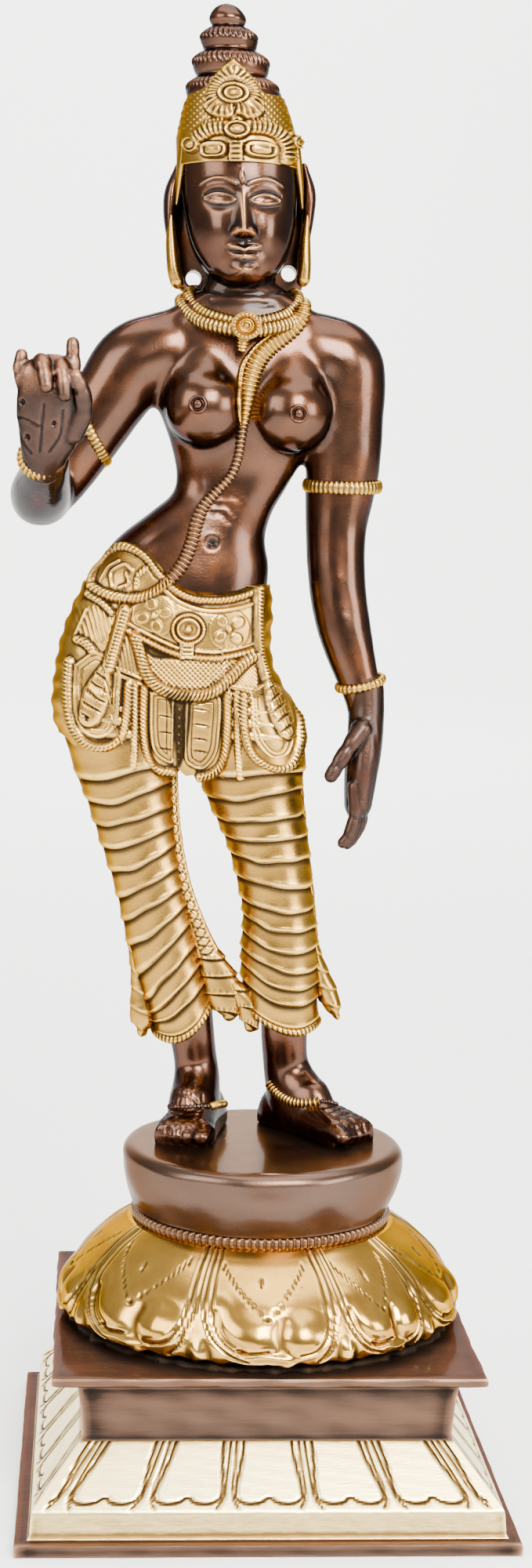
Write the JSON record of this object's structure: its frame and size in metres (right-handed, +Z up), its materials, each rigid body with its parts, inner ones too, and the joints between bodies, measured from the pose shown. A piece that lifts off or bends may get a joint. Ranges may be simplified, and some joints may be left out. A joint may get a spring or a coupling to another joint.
{
  "type": "standing goddess statue",
  "caption": "Standing goddess in cast brass, one hand raised and one hanging, on a round lotus seat over a stepped square base.",
  "frame": {"origin": "centre of the square base's underside", "axes": "+X to the viewer's right, +Y away from the viewer, +Z up; the figure faces -Y"},
  "size_m": [0.1575, 0.15, 0.457],
  "materials": {
    "brown_bronze": "dark brown patina, glossy, with the dress and ornaments polished to old gold",
    "gold_brass": "polished brass with dark patina in the recesses",
    "aged_brass": "brown patina, with the course of petals polished pale gold"
  },
  "bodies": {
    "root": {"figure": "brown_bronze", "lotus_seat": "gold_brass", "square_base": "aged_brass"}
  },
  "joints": []
}
